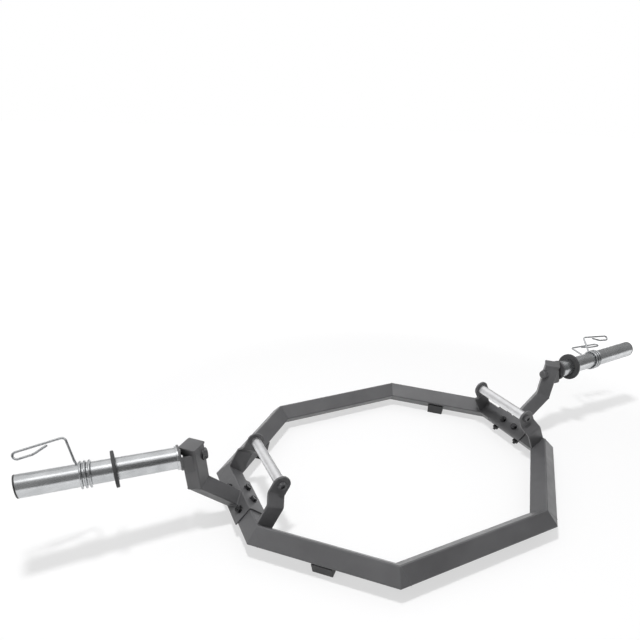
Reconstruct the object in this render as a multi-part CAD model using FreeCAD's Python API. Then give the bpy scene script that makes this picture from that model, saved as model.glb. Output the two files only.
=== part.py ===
import FreeCAD, Part
import math
import os

os.makedirs("parts", exist_ok=True)

# Hex trap bar in millimetres: X runs along the two sleeves, Y to the back, Z up from the floor.

# Frame: eight square tubes stood on edge, mitred into an octagon
frame_side = 50.0
frame_wall = 3.0
frame_corner_radius = 4.0
frame_half_length = 463.0
frame_half_depth = 377.0
side_half = 133.0
mitre_half_angle = 22.5

# Feet: rubber V blocks under the middle of the diagonals
foot_height = 12.0
foot_length = 52.0
foot_wall_height = 24.0
foot_rim = 5.0
foot_base_width = 38.0

# Saddles: folded plates over the ridge of each short side
saddle_length = 146.0
saddle_leg = 54.0
saddle_plate = 4.0
saddle_bend_radius = 4.0
inner_bolt_half_spacing = 25.0
outer_bolt_half_spacing = 47.0

# Arms: square tubes on edge, square to the saddle and then upright
arm_side = 40.0
arm_wall = 3.0
arm_corner_radius = 3.0
arm_offset = 101.0
arm_head_above_sleeve = 27.0
arm_cap_thickness = 4.0
arm_cap_overhang = 1.6

# Sleeves: plated steel tubes bolted to the arms, rising a little outwards
sleeve_diameter = 50.0
sleeve_wall = 5.0
sleeve_length = 315.0
sleeve_height = 229.0
sleeve_rise = 3.8
sleeve_shoulder_diameter = 56.0
sleeve_shoulder_length = 6.0
sleeve_flange_diameter = 61.0
sleeve_flange_thickness = 5.0
sleeve_core_length = 30.0
end_plug_thickness = 3.0
end_plug_spigot = 14.0
end_plug_hole = 6.0

# Head boxes: two cheek plates between each arm and its flange
cheek_thickness = 4.0
cheek_inset = 6.0
cheek_above_axis = 14.0
cheek_below_axis = 30.0
open_cheek_top_reach = 12.0
open_cheek_end_height = 5.0

# Loose rubber discs and where they stand, out from the arm along the sleeve
disc_diameter = 82.0
disc_thickness = 7.0
left_disc_place = 167.0
right_disc_place = 82.0

# Spring collars of round wire, with where the inner end of each coil stands
collar_wire = 5.0
collar_pitch = 8.6
collar_turns = 3
collar_leg_reach = 85.0
collar_lean_angle = 10.0
collar_root_radius = 7.0
collar_corner_radius = 8.0
collar_run = 99.0
collar_return_gap = 15.0
collar_return_straight = 24.0
collar_tail = 28.0
collar_tail_angle = 18.0
collar_tail_radius = 20.0
left_collar_place = 211.0
right_collar_place = 173.5
left_collar_angle = -115.0
left_collar_spread_angle = 76.0
right_collar_angle = 89.0
right_collar_spread_angle = -37.5

# Handles: plated tubes along Y, each between two joggled flat bars
handle_diameter = 27.0
handle_wall = 4.0
handle_setback = 35.0
handle_inset = 75.0
handle_height = 158.0
handle_plug_length = 26.0
bracket_width = 46.0
bracket_plate = 6.0
bracket_step = 23.0
bracket_step_start = 28.0
bracket_step_end = 46.0

# Fasteners
saddle_bolt_diameter = 10.0
saddle_bolt_head_across = 17.0
saddle_bolt_head_height = 7.0
saddle_bolt_nut_height = 9.0
saddle_bolt_tail = 5.0
saddle_washer_diameter = 21.0
saddle_washer_thickness = 2.0
handle_bolt_diameter = 12.0
handle_bolt_head_across = 19.0
handle_bolt_head_height = 8.0
handle_bolt_socket_across = 10.0
handle_bolt_socket_depth = 4.0
handle_bolt_thread = 20.0
sleeve_bolt_diameter = 16.0
sleeve_bolt_head_across = 24.0
sleeve_bolt_head_height = 10.0
sleeve_bolt_flat_depth = 9.5
sleeve_washer_diameter = 30.0
sleeve_washer_thickness = 3.0

# Fits and overruns
hole_clearance = 0.25
running_clearance = 0.3
coil_clearance = 0.4
overrun = 20.0

# Worked out places
half_turn = 180.0
diagonal_ratio = math.sqrt(2)
hex_sides = 6
parallel_angle = 8.0
gap_samples = 12
frame_half_diagonal = frame_side / diagonal_ratio
arm_half_diagonal = arm_side / diagonal_ratio
axis_height = foot_height + frame_half_diagonal
ridge_height = axis_height + frame_half_diagonal
frame_corner_run = frame_half_depth - side_half
front_half = frame_half_length - frame_corner_run
arm_x = frame_half_length + arm_offset
arm_top_height = sleeve_height + arm_head_above_sleeve
elbow_height = axis_height + arm_offset
sleeve_radius = sleeve_diameter / 2
flange_face = arm_half_diagonal + sleeve_flange_thickness
flange_lift = arm_half_diagonal * math.tan(math.radians(sleeve_rise))
handle_x = frame_half_length - handle_inset
handle_half_length = side_half - handle_setback

AXIS_X = FreeCAD.Vector(1, 0, 0)
AXIS_Y = FreeCAD.Vector(0, 1, 0)
AXIS_Z = FreeCAD.Vector(0, 0, 1)
ORIGIN = FreeCAD.Vector(0, 0, 0)


def point(x, y, z):
    return FreeCAD.Vector(x, y, z)


def save(shape, node):
    """Write one node as a STEP file and print how many solids it has."""
    shape.exportStep("parts/" + node + ".step")
    print(node, len(shape.Solids), round(shape.Volume))


def group(shapes):
    return Part.makeCompound(shapes)


def mirrored(shape):
    """The same piece on the other end of the bar, turned half round the upright axis."""
    copy = shape.copy()
    copy.rotate(ORIGIN, AXIS_Z, half_turn)
    return copy


def diamond_prism(start, end, side, up, radius=0.0):
    """A square bar on edge from start to end, one edge pointing up, its edges rounded by radius."""
    axis = end - start
    across = axis.cross(up)
    across.normalize()
    upright = across.cross(axis)
    upright.normalize()
    half = side / diagonal_ratio
    tips = [upright * half, across * half, upright * -half, across * -half]
    corners = [start + tip for tip in tips]
    solid = Part.Face(Part.makePolygon(corners + corners[:1])).extrude(axis)
    if radius > 0:
        direction = axis * (1 / axis.Length)
        least_cosine = math.cos(math.radians(parallel_angle))
        long_edges = []
        for edge in solid.Edges:
            if abs(edge.tangentAt(edge.FirstParameter).dot(direction)) > least_cosine:
                long_edges.append(edge)
        solid = solid.makeFillet(radius, long_edges)
    return solid


def square_tube(start, end, side, wall, radius, up):
    """A hollow square tube on edge."""
    outer = diamond_prism(start, end, side, up, radius)
    reach = end - start
    reach.normalize()
    bore = diamond_prism(start - reach * overrun, end + reach * overrun, side - 2 * wall, up)
    return outer.cut(bore)


def cut_beyond(shape, at, normal):
    """Cut away all that lies beyond the plane through at, on the side its normal points to."""
    size = shape.BoundBox.DiagonalLength * 2
    block = Part.makeBox(size, size, size, point(-size / 2, -size / 2, 0))
    block.Placement = FreeCAD.Placement(at, FreeCAD.Rotation(AXIS_Z, normal))
    return shape.cut(block)


def rod(start, end, diameter):
    axis = end - start
    return Part.makeCylinder(diameter / 2, axis.Length, start, axis)


def hex_prism(start, end, across, turn):
    """A hexagonal head or nut from start to end; turn is any direction that one flat faces."""
    axis = end - start
    flat = turn - axis * (turn.dot(axis) / axis.dot(axis))
    flat.normalize()
    side_way = axis.cross(flat)
    side_way.normalize()
    half_step = math.pi / hex_sides
    reach = across / 2 / math.cos(half_step)
    corners = []
    for index in range(hex_sides):
        angle = half_step * (2 * index + 1)
        corners.append(start + flat * (reach * math.cos(angle)) + side_way * (reach * math.sin(angle)))
    return Part.Face(Part.makePolygon(corners + corners[:1])).extrude(axis)


def washer(start, axis, outer, inner, thickness):
    end = start + axis * thickness
    hole = rod(start - axis * overrun, end + axis * overrun, inner)
    return rod(start, end, outer).cut(hole)


# Frame tubes
def frame_corners():
    """The eight corners of the frame's centre line, named by the two tubes that meet there."""
    z = axis_height
    return {
        "back_right": point(front_half, frame_half_depth, z),
        "right_back": point(frame_half_length, side_half, z),
        "right_front": point(frame_half_length, -side_half, z),
        "front_right": point(front_half, -frame_half_depth, z),
        "front_left": point(-front_half, -frame_half_depth, z),
        "left_front": point(-frame_half_length, -side_half, z),
        "left_back": point(-frame_half_length, side_half, z),
        "back_left": point(-front_half, frame_half_depth, z),
    }


frame_order = [
    ("back_tube", "back_left", "back_right"),
    ("back_right_tube", "back_right", "right_back"),
    ("right_side_tube", "right_back", "right_front"),
    ("front_right_tube", "right_front", "front_right"),
    ("front_tube", "front_right", "front_left"),
    ("front_left_tube", "front_left", "left_front"),
    ("left_side_tube", "left_front", "left_back"),
    ("back_left_tube", "left_back", "back_left"),
]


def mitred(bar, start, end):
    """Trim a frame bar at both ends on the mitre planes of its corners."""
    way = end - start
    way.normalize()
    start_normal = FreeCAD.Rotation(AXIS_Z, mitre_half_angle).multVec(way * -1)
    end_normal = FreeCAD.Rotation(AXIS_Z, -mitre_half_angle).multVec(way)
    trimmed = cut_beyond(bar, start, start_normal)
    return cut_beyond(trimmed, end, end_normal)


def frame_bar(start, end, hollow):
    """One frame tube, or its full sharp-edged bar for trimming what sits on it."""
    way = end - start
    way.normalize()
    long_start = start - way * frame_side
    long_end = end + way * frame_side
    if hollow:
        bar = square_tube(long_start, long_end, frame_side, frame_wall, frame_corner_radius, AXIS_Z)
    else:
        bar = diamond_prism(long_start, long_end, frame_side, AXIS_Z)
    return mitred(bar, start, end)


corners = frame_corners()
frame_tubes = {}
frame_bars = {}
for name, first, last in frame_order:
    frame_tubes[name] = frame_bar(corners[first], corners[last], True)
    frame_bars[name] = frame_bar(corners[first], corners[last], False)


# Feet
def foot(bar_start, bar_end):
    """A V block on the floor, cut to the two lower faces of the tube that it carries."""
    way = bar_end - bar_start
    way.normalize()
    middle = (bar_start + bar_end) * 0.5
    side_way = AXIS_Z.cross(way)
    top = foot_height + foot_wall_height
    top_half = foot_wall_height + foot_rim
    base_half = foot_base_width / 2
    outline = [(-base_half, 0), (base_half, 0), (top_half, top), (-top_half, top)]
    back = point(middle.x, middle.y, 0) - way * (foot_length / 2)
    loop = [back + side_way * across + AXIS_Z * up for across, up in outline]
    block = Part.Face(Part.makePolygon(loop + loop[:1])).extrude(way * foot_length)
    bar = diamond_prism(middle - way * foot_length, middle + way * foot_length, frame_side, AXIS_Z)
    return block.cut(bar)


feet_order = [
    ("back_right_foot", "back_right", "right_back"),
    ("front_right_foot", "right_front", "front_right"),
    ("front_left_foot", "front_left", "left_front"),
    ("back_left_foot", "left_back", "back_left"),
]
for name, first, last in feet_order:
    save(foot(corners[first], corners[last]), name)

# Saddle, arm and fasteners of the right end
inward_up = point(-1, 0, 1) * (1 / diagonal_ratio)
outward_up = point(1, 0, 1) * (1 / diagonal_ratio)
side_axis = point(frame_half_length, 0, axis_height)
plate_top = frame_side / 2 + saddle_plate


def saddle_plate_solid():
    """An angle plate whose two legs lie on the upper faces of the short side tube."""
    ridge = point(frame_half_length, 0, ridge_height)
    crown = ridge + AXIS_Z * (saddle_plate * diagonal_ratio)
    outer_foot = ridge - inward_up * saddle_leg
    inner_foot = ridge - outward_up * saddle_leg
    loop = [
        ridge,
        outer_foot,
        outer_foot + outward_up * saddle_plate,
        crown,
        inner_foot + inward_up * saddle_plate,
        inner_foot,
    ]
    start = AXIS_Y * (-saddle_length / 2)
    face = Part.Face(Part.makePolygon([corner + start for corner in loop + loop[:1]]))
    solid = face.extrude(AXIS_Y * saddle_length)
    crown_edges = [edge for edge in solid.Edges if edge.BoundBox.ZMin > ridge_height + saddle_plate]
    return solid.makeFillet(saddle_bend_radius, crown_edges)


bolt_lines = []
for spacing in (-inner_bolt_half_spacing, inner_bolt_half_spacing):
    bolt_lines.append((side_axis + AXIS_Y * spacing, inward_up))
for spacing in (-outer_bolt_half_spacing, outer_bolt_half_spacing):
    bolt_lines.append((side_axis + AXIS_Y * spacing, outward_up))

bolt_hole = saddle_bolt_diameter + 2 * hole_clearance
saddle_holes = []
saddle_bolts = []
saddle_nuts = []
saddle_washers = []
for centre, up_way in bolt_lines:
    plate_face = centre + up_way * plate_top
    head_seat = plate_face + up_way * saddle_washer_thickness
    under_face = centre - up_way * (frame_side / 2)
    nut_seat = under_face - up_way * saddle_washer_thickness
    nut_end = nut_seat - up_way * saddle_bolt_nut_height
    saddle_holes.append(rod(under_face - up_way * overrun, head_seat + up_way * overrun, bolt_hole))
    shank = rod(nut_end - up_way * saddle_bolt_tail, head_seat, saddle_bolt_diameter)
    head = hex_prism(head_seat, head_seat + up_way * saddle_bolt_head_height, saddle_bolt_head_across, AXIS_Y)
    saddle_bolts.append(shank.fuse(head).removeSplitter())
    nut = hex_prism(nut_seat, nut_end, saddle_bolt_head_across, AXIS_Y)
    nut_bore = rod(nut_end - up_way * overrun, nut_seat + up_way * overrun, saddle_bolt_diameter)
    saddle_nuts.append(nut.cut(nut_bore))
    saddle_washers.append(
        washer(plate_face, up_way, saddle_washer_diameter, bolt_hole, saddle_washer_thickness)
    )
    saddle_washers.append(
        washer(nut_seat, up_way, saddle_washer_diameter, bolt_hole, saddle_washer_thickness)
    )

saddle = saddle_plate_solid().cut(group(saddle_holes))
for name in ("right_side_tube", "left_side_tube"):
    holes = saddle_holes if name == "right_side_tube" else [mirrored(hole) for hole in saddle_holes]
    frame_tubes[name] = frame_tubes[name].cut(group(holes))
for name, tube in frame_tubes.items():
    save(tube, name)

# Arm tubes, mitred at the elbow
elbow = point(arm_x, 0, elbow_height)
arm_root = side_axis + outward_up * plate_top
arm_head = point(arm_x, 0, arm_top_height)
elbow_normal = (outward_up + AXIS_Z) * (1 / (outward_up + AXIS_Z).Length)
lower_arm = square_tube(
    arm_root, elbow + outward_up * arm_side, arm_side, arm_wall, arm_corner_radius, inward_up
)
lower_arm = cut_beyond(lower_arm, elbow, elbow_normal)
upper_arm = square_tube(
    elbow - AXIS_Z * arm_side, arm_head, arm_side, arm_wall, arm_corner_radius, AXIS_X
)
upper_arm = cut_beyond(upper_arm, elbow, elbow_normal * -1)
arm_cap_top = arm_head + AXIS_Z * arm_cap_thickness
arm_cap_side = arm_side + 2 * arm_cap_overhang
arm_cap = diamond_prism(arm_head, arm_cap_top, arm_cap_side, AXIS_X, arm_corner_radius)
arm_cap = cut_beyond(arm_cap, arm_head + AXIS_X * arm_half_diagonal, AXIS_X)

# Sleeve axis of the right end: x runs out along the sleeve from the arm
sleeve_seat = FreeCAD.Placement(point(arm_x, 0, sleeve_height), FreeCAD.Rotation(AXIS_Y, -sleeve_rise))
sleeve_way = sleeve_seat.Rotation.multVec(AXIS_X)
flange_outer = point(arm_x + flange_face, 0, sleeve_height)


def on_sleeve(x, y, z):
    """A point given along and across the sleeve axis, in the bar's own frame."""
    return sleeve_seat.multVec(point(x, y, z))


bolt_flat = arm_half_diagonal - sleeve_bolt_flat_depth
washer_seat = -bolt_flat
head_start = washer_seat - sleeve_washer_thickness
core_end = flange_face + sleeve_core_length
bolt_bore = sleeve_bolt_diameter + 2 * hole_clearance
bolt_passage = rod(on_sleeve(-arm_side * 2, 0, 0), on_sleeve(core_end, 0, 0), bolt_bore)
washer_bore = sleeve_washer_diameter + 2 * hole_clearance
washer_recess = rod(on_sleeve(washer_seat, 0, 0), on_sleeve(washer_seat - arm_side, 0, 0), washer_bore)
upper_arm = upper_arm.cut(bolt_passage)
upper_arm = upper_arm.cut(washer_recess)

sleeve_bolt = rod(on_sleeve(head_start, 0, 0), on_sleeve(core_end, 0, 0), sleeve_bolt_diameter)
sleeve_bolt = sleeve_bolt.fuse(
    hex_prism(
        on_sleeve(head_start - sleeve_bolt_head_height, 0, 0),
        on_sleeve(head_start, 0, 0),
        sleeve_bolt_head_across,
        AXIS_Z,
    )
).removeSplitter()
sleeve_washer = washer(
    on_sleeve(head_start, 0, 0), sleeve_way, sleeve_washer_diameter, bolt_bore, sleeve_washer_thickness
)

# Flange and cheeks of the head box
flange_start = point(arm_x + arm_half_diagonal, 0, sleeve_height + flange_lift)
flange = rod(flange_start, flange_start + AXIS_X * sleeve_flange_thickness, sleeve_flange_diameter)
flange = flange.cut(bolt_passage)
cheek_top = sleeve_height + cheek_above_axis
cheek_bottom = sleeve_height - cheek_below_axis
corner_loop = [
    point(arm_x + open_cheek_top_reach, -arm_side, cheek_top),
    point(arm_x + arm_half_diagonal, -arm_side, cheek_top),
    point(arm_x + arm_half_diagonal, -arm_side, cheek_bottom + open_cheek_end_height),
]
open_corner = Part.Face(Part.makePolygon(corner_loop + corner_loop[:1])).extrude(AXIS_Y * arm_side)
cheek_outer = arm_half_diagonal - cheek_inset
cheeks = []
for cheek_side in (-1, 1):
    low_y = cheek_outer - cheek_thickness if cheek_side > 0 else -cheek_outer
    plate = Part.makeBox(
        arm_half_diagonal,
        cheek_thickness,
        cheek_top - cheek_bottom,
        point(arm_x, low_y, cheek_bottom),
    )
    bar = diamond_prism(elbow, arm_head, arm_side, AXIS_X)
    plate = plate.cut(bar)
    if cheek_side < 0:
        plate = plate.cut(open_corner)
    cheeks.append(plate)

# Sleeve tube, its threaded core and its end plug
sleeve_end = flange_face + sleeve_length
sleeve_bore = sleeve_diameter - 2 * sleeve_wall
sleeve_tube = rod(on_sleeve(0, 0, 0), on_sleeve(sleeve_end, 0, 0), sleeve_diameter)
sleeve_hollow = rod(on_sleeve(-overrun, 0, 0), on_sleeve(sleeve_end + overrun, 0, 0), sleeve_bore)
sleeve_tube = sleeve_tube.cut(sleeve_hollow)
sleeve_tube = cut_beyond(sleeve_tube, flange_outer, AXIS_X * -1)
shoulder_end = flange_face + sleeve_shoulder_length
sleeve_shoulder = rod(on_sleeve(0, 0, 0), on_sleeve(shoulder_end, 0, 0), sleeve_shoulder_diameter)
shoulder_bore = rod(on_sleeve(0, 0, 0), on_sleeve(sleeve_end, 0, 0), sleeve_diameter)
sleeve_shoulder = cut_beyond(sleeve_shoulder.cut(shoulder_bore), flange_outer, AXIS_X * -1)
sleeve_core = rod(on_sleeve(0, 0, 0), on_sleeve(core_end, 0, 0), sleeve_bore)
core_thread = rod(on_sleeve(-overrun, 0, 0), on_sleeve(core_end + overrun, 0, 0), sleeve_bolt_diameter)
sleeve_core = sleeve_core.cut(core_thread)
sleeve_core = cut_beyond(sleeve_core, flange_outer, AXIS_X * -1)
end_plug = rod(on_sleeve(sleeve_end - end_plug_spigot, 0, 0), on_sleeve(sleeve_end, 0, 0), sleeve_bore)
end_plug = end_plug.fuse(
    rod(on_sleeve(sleeve_end, 0, 0), on_sleeve(sleeve_end + end_plug_thickness, 0, 0), sleeve_diameter)
)
end_plug = end_plug.cut(
    rod(
        on_sleeve(sleeve_end - end_plug_spigot - overrun, 0, 0),
        on_sleeve(sleeve_end + end_plug_thickness + overrun, 0, 0),
        end_plug_hole,
    )
).removeSplitter()


# Rubber disc
def disc(place):
    """A loose rubber ring round the sleeve."""
    start = on_sleeve(place - disc_thickness / 2, 0, 0)
    bore = sleeve_diameter + 2 * running_clearance
    return washer(start, sleeve_way, disc_diameter, bore, disc_thickness)


# Spring collar
def turned(angle):
    """The outward direction round the sleeve, in degrees from the top towards the back."""
    turn = math.radians(angle)
    return point(0, math.sin(turn), math.cos(turn))


def arc_between(start, corner, end):
    """The arc that leaves start towards corner and arrives at end from corner."""
    first = corner - start
    second = end - corner
    half_cosine = math.cos(first.getAngle(second) / 2)
    middle = corner + ((start + end) * 0.5 - corner) * (1 / (1 + half_cosine))
    return Part.Arc(start, middle, end).toShape()


def biarc(start, start_way, end, end_way):
    """Two arcs from start to end that share a tangent where they meet."""
    span = end - start
    ways = start_way + end_way
    spread = 2 * (1 - start_way.dot(end_way))
    along = span.dot(ways)
    reach = (math.sqrt(along * along + spread * span.dot(span)) - along) / spread
    first_corner = start + start_way * reach
    last_corner = end - end_way * reach
    middle = (first_corner + last_corner) * 0.5
    return [arc_between(start, first_corner, middle), arc_between(middle, last_corner, end)]


coil_radius = sleeve_radius + coil_clearance + collar_wire / 2


def coil_point(place, angle, share, sweep):
    """Where the coil's centre line is, and which way it runs, at a share of its whole sweep."""
    turn = angle + sweep * share
    out_way = turned(turn)
    round_way = turned(turn + half_turn / 2)
    length = collar_pitch * sweep / (2 * half_turn)
    where = point(place + length * share, 0, 0) + out_way * coil_radius
    way = round_way * (coil_radius * math.radians(sweep)) + AXIS_X * length
    way.normalize()
    return where, way, out_way


def bend(path, start, way, new_way, radius):
    """Add a quarter bend to the path and return where it ends."""
    corner = start + way * radius
    end = corner + new_way * radius
    path.append(arc_between(start, corner, end))
    return end


def straight(path, start, way, length):
    end = start + way * length
    path.append(Part.LineSegment(start, end).toShape())
    return end


def finger_loop(start, way, out_way):
    """The leg and finger loop at one end of the coil, as edges that run away from the coil."""
    lean = math.radians(collar_lean_angle)
    leg_way = out_way * math.cos(lean) + AXIS_X * math.sin(lean)
    run_way = AXIS_X * math.cos(lean) - out_way * math.sin(lean)
    path = []
    here = bend(path, start, way, leg_way, collar_root_radius)
    leg = collar_leg_reach - coil_radius - collar_root_radius - collar_corner_radius
    here = straight(path, here, leg_way, leg)
    here = bend(path, here, leg_way, run_way, collar_corner_radius)
    here = straight(path, here, run_way, collar_run - collar_corner_radius - collar_return_gap / 2)
    here = bend(path, here, run_way, leg_way * -1, collar_return_gap / 2)
    here = bend(path, here, leg_way * -1, run_way * -1, collar_return_gap / 2)
    here = straight(path, here, run_way * -1, collar_return_straight)
    tilt = math.radians(collar_tail_angle)
    tail_way = run_way * -math.cos(tilt) + leg_way * math.sin(tilt)
    reach = collar_tail_radius * math.tan(tilt / 2)
    corner = here - run_way * reach
    path.append(arc_between(here, corner, corner + tail_way * reach))
    straight(path, corner + tail_way * reach, tail_way, collar_tail)
    return path


def backwards(edges):
    """The same path from its far end."""
    turned_edges = []
    for edge in reversed(edges):
        start = edge.valueAt(edge.LastParameter)
        end = edge.valueAt(edge.FirstParameter)
        middle = edge.valueAt((edge.FirstParameter + edge.LastParameter) / 2)
        if edge.Curve.TypeId == "Part::GeomLine":
            turned_edges.append(Part.LineSegment(start, end).toShape())
        else:
            turned_edges.append(Part.Arc(start, middle, end).toShape())
    return turned_edges


def least_gap(edges):
    """The least clear distance between stretches of the wire that are not neighbours."""
    samples = []
    travelled = 0.0
    for edge in edges:
        span = edge.LastParameter - edge.FirstParameter
        for step in range(gap_samples):
            share = step / gap_samples
            spot = edge.valueAt(edge.FirstParameter + span * share)
            samples.append((travelled + edge.Length * share, spot))
        travelled += edge.Length
    apart = collar_wire * math.pi
    gap = travelled
    for index, (here, spot) in enumerate(samples):
        for there, other in samples[index + 1:]:
            if there - here > apart:
                gap = min(gap, spot.distanceToPoint(other))
    return gap - collar_wire


def collar(place, angle, spread, name):
    """One unbroken wire: a finger loop, the coil round the sleeve and the other finger loop."""
    sweep = collar_turns * 2 * half_turn + spread
    spans = 4 * collar_turns + 1
    edges = []
    for index in range(spans):
        start, start_way, out_way = coil_point(place, angle, index / spans, sweep)
        end, end_way, out_way = coil_point(place, angle, (index + 1) / spans, sweep)
        edges.extend(biarc(start, start_way, end, end_way))
    first, first_way, first_out = coil_point(place, angle, 0, sweep)
    last, last_way, last_out = coil_point(place, angle, 1, sweep)
    inner_loop = backwards(finger_loop(first, first_way * -1, first_out))
    outer_loop = finger_loop(last, last_way, last_out)
    route = inner_loop + edges + outer_loop
    print(name, "least gap", round(least_gap(route), 2))
    path = Part.Wire(route)
    tip = route[0].valueAt(route[0].FirstParameter)
    tip_way = route[0].tangentAt(route[0].FirstParameter)
    section = Part.Wire(Part.makeCircle(collar_wire / 2, tip, tip_way))
    tube = path.makePipeShell([section], True, False)
    solid = Part.Solid(tube) if tube.ShapeType == "Shell" else tube
    print(name, "volume share", round(solid.Volume / (path.Length * math.pi * collar_wire ** 2 / 4), 4))
    solid.Placement = sleeve_seat.multiply(solid.Placement)
    return solid


# Handle and its brackets, right end
handle_axis = point(handle_x, 0, handle_height)
face_middle = side_axis + inward_up * (frame_side / 2)
bar_way = handle_axis - face_middle
bar_length = bar_way.Length
bar_way.normalize()
bar_across = AXIS_Y.cross(bar_way)
bolt_clear = handle_bolt_diameter + 2 * hole_clearance


def bracket(end_side):
    """A joggled flat bar with a round top, trimmed to the frame tubes it stands on."""
    upper = handle_half_length
    lower = handle_half_length + bracket_step
    below = bar_length + frame_side / 2
    radius = bracket_width / 2
    near = [(radius, upper), (-bracket_step_start, upper), (-bracket_step_end, lower), (-below, lower)]
    slope = math.atan2(bracket_step, bracket_step_end - bracket_step_start)
    shift = bracket_plate * math.tan(slope / 2)
    far = [
        (-below, lower + bracket_plate),
        (-bracket_step_end + shift, lower + bracket_plate),
        (-bracket_step_start + shift, upper + bracket_plate),
        (radius, upper + bracket_plate),
    ]
    loop = []
    for along, out in near + far:
        loop.append(handle_axis + bar_way * along + AXIS_Y * (end_side * out) - bar_across * radius)
    bar = Part.Face(Part.makePolygon(loop + loop[:1])).extrude(bar_across * bracket_width)
    depth = AXIS_Y * (end_side * (lower + bracket_plate) * 2)
    tip = Part.makeCylinder(radius, depth.Length, handle_axis, depth)
    foot_line = handle_axis - bar_way * below
    corner_list = [
        handle_axis + bar_across * radius,
        handle_axis - bar_across * radius,
        foot_line - bar_across * radius,
        foot_line + bar_across * radius,
    ]
    shank = Part.Face(Part.makePolygon(corner_list + corner_list[:1])).extrude(depth)
    bar = bar.common(tip.fuse(shank).removeSplitter())
    hole = rod(handle_axis, handle_axis + depth, bolt_clear)
    bar = bar.cut(hole)
    for name in ("right_side_tube", "back_right_tube", "front_right_tube"):
        bar = bar.cut(frame_bars[name])
    upper_solids = [solid for solid in bar.Solids if solid.BoundBox.ZMax > handle_height]
    return upper_solids[0]


handle_start = handle_axis - AXIS_Y * handle_half_length
handle_end = handle_axis + AXIS_Y * handle_half_length
handle_bore = handle_diameter - 2 * handle_wall
handle_tube = rod(handle_start, handle_end, handle_diameter)
handle_hollow = rod(handle_start - AXIS_Y * overrun, handle_end + AXIS_Y * overrun, handle_bore)
handle_tube = handle_tube.cut(handle_hollow)
handle_plugs = []
handle_bolts = []
for end_side in (-1, 1):
    out = AXIS_Y * end_side
    face = handle_axis + out * handle_half_length
    plug = rod(face - out * handle_plug_length, face, handle_bore)
    thread_end = face - out * handle_bolt_thread
    plug = plug.cut(rod(thread_end, face + out * overrun, handle_bolt_diameter))
    handle_plugs.append(plug)
    seat = face + out * bracket_plate
    head_top = seat + out * handle_bolt_head_height
    head = hex_prism(seat, head_top, handle_bolt_head_across, AXIS_Z)
    socket_floor = head_top - out * handle_bolt_socket_depth
    socket = hex_prism(socket_floor, head_top + out * overrun, handle_bolt_socket_across, AXIS_Z)
    bolt = rod(thread_end, seat, handle_bolt_diameter).fuse(head).cut(socket)
    handle_bolts.append(bolt.removeSplitter())

# Write both ends: the right one as built, the left one turned half round
pieces = {
    "saddle": saddle,
    "saddle_bolts": group(saddle_bolts),
    "saddle_nuts": group(saddle_nuts),
    "saddle_washers": group(saddle_washers),
    "lower_arm": lower_arm,
    "upper_arm": upper_arm,
    "arm_cap": arm_cap,
    "sleeve_flange": flange,
    "head_cheeks": group(cheeks),
    "sleeve_tube": sleeve_tube,
    "sleeve_shoulder": sleeve_shoulder,
    "sleeve_core": sleeve_core,
    "sleeve_end_plug": end_plug,
    "sleeve_bolt": sleeve_bolt,
    "sleeve_washer": sleeve_washer,
    "handle_tube": handle_tube,
    "handle_plugs": group(handle_plugs),
    "handle_bolts": group(handle_bolts),
}
for name, shape in pieces.items():
    save(shape, "right_" + name)
    save(mirrored(shape), "left_" + name)
for end_side, right_name, left_name in ((-1, "front", "back"), (1, "back", "front")):
    bar = bracket(end_side)
    save(bar, "right_" + right_name + "_bracket")
    save(mirrored(bar), "left_" + left_name + "_bracket")
save(disc(right_disc_place), "right_stop_disc")
save(mirrored(disc(left_disc_place)), "left_stop_disc")
save(collar(right_collar_place, right_collar_angle, right_collar_spread_angle, "right"), "right_collar")
save(mirrored(collar(left_collar_place, left_collar_angle, left_collar_spread_angle, "left")), "left_collar")
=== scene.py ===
import bpy
import bmesh
import math
import numpy as np
from mathutils import Matrix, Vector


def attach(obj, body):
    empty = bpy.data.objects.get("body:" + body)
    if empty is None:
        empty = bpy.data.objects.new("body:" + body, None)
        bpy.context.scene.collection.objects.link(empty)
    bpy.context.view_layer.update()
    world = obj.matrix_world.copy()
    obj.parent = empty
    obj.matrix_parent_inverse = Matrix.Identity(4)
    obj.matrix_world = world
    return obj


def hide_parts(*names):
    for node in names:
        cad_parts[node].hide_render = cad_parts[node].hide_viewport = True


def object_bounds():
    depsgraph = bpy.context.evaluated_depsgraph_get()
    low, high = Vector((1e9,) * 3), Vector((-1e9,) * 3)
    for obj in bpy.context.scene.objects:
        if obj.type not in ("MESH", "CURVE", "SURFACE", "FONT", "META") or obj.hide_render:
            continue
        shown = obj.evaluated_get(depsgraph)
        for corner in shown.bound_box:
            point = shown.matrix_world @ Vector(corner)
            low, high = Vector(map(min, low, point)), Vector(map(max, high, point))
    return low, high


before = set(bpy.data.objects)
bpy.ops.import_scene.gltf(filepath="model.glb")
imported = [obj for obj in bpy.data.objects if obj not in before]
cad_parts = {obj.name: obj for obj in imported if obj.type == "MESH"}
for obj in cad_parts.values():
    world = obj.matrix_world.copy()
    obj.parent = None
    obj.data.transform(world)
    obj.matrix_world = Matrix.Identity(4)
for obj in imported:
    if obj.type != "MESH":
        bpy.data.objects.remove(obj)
cad_low, cad_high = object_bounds()

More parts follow.
